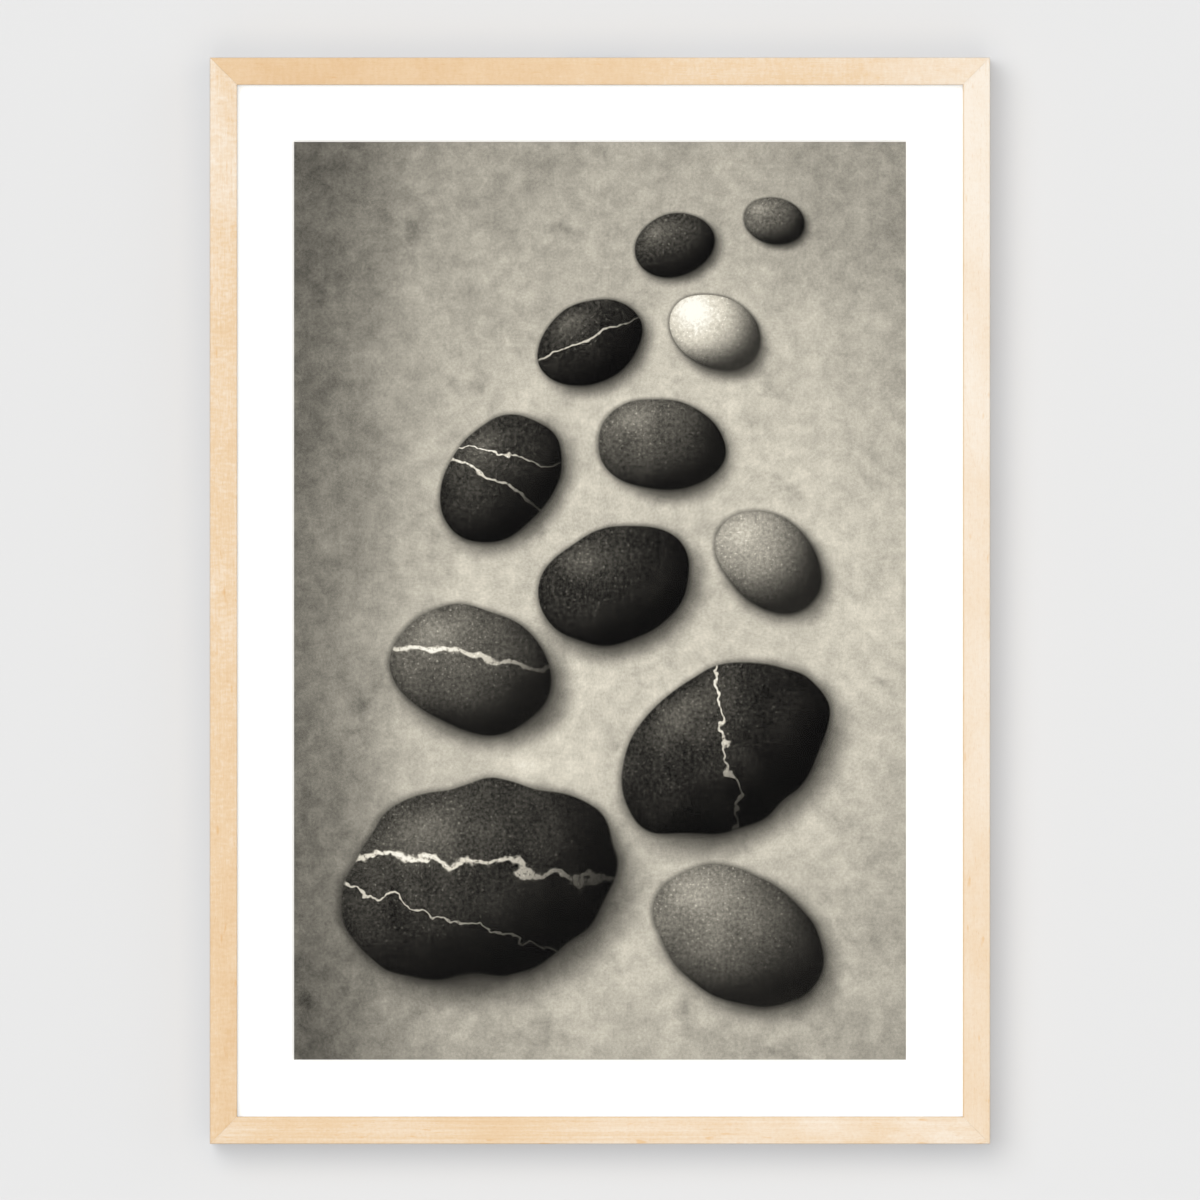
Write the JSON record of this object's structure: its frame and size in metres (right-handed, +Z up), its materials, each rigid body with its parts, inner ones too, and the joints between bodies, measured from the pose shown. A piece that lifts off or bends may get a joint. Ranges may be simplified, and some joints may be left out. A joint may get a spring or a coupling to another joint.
{
  "type": "framed art print",
  "caption": "Portrait art print behind glass in a white window mat and a slim pale maple frame, backed with board and hung from a toothed plate on its top rail.",
  "frame": {"origin": "the middle of the hanging plate's rear face, in the plane of the wall, halfway up the top rail's rim", "axes": "+X to the viewer's right, +Y into the wall, +Z up"},
  "size_m": [0.5178, 0.028, 0.721],
  "materials": {
    "maple": "satin",
    "clear_glass": "polished",
    "mat_paper": "matte",
    "print_paper": "matte",
    "tape_paper": "matte",
    "mount_paper": "matte",
    "hardboard": "matte",
    "zinc_steel": "satin",
    "brassed_steel": "satin",
    "felt": "matte"
  },
  "bodies": {
    "root": {"rail_top": "maple", "rail_bottom": "maple", "rail_left": "maple", "rail_right": "maple", "glazing": "clear_glass", "mat_board": "mat_paper", "print_sheet": "print_paper", "hinge_tape_left": "tape_paper", "hinge_tape_right": "tape_paper", "mount_board": "mount_paper", "back_panel": "hardboard", "point_top_1": "zinc_steel", "point_top_2": "zinc_steel", "point_top_3": "zinc_steel", "point_bottom_1": "zinc_steel", "point_bottom_2": "zinc_steel", "point_bottom_3": "zinc_steel", "point_left_1": "zinc_steel", "point_left_2": "zinc_steel", "point_left_3": "zinc_steel", "point_left_4": "zinc_steel", "point_right_1": "zinc_steel", "point_right_2": "zinc_steel", "point_right_3": "zinc_steel", "point_right_4": "zinc_steel", "v_nail_top_left_1": "zinc_steel", "v_nail_top_left_2": "zinc_steel", "v_nail_top_right_1": "zinc_steel", "v_nail_top_right_2": "zinc_steel", "v_nail_bottom_right_1": "zinc_steel", "v_nail_bottom_right_2": "zinc_steel", "v_nail_bottom_left_1": "zinc_steel", "v_nail_bottom_left_2": "zinc_steel", "hanger": "brassed_steel", "hanger_nail_left": "brassed_steel", "hanger_nail_right": "brassed_steel", "bumper_left": "felt", "bumper_right": "felt"}
  },
  "joints": []
}
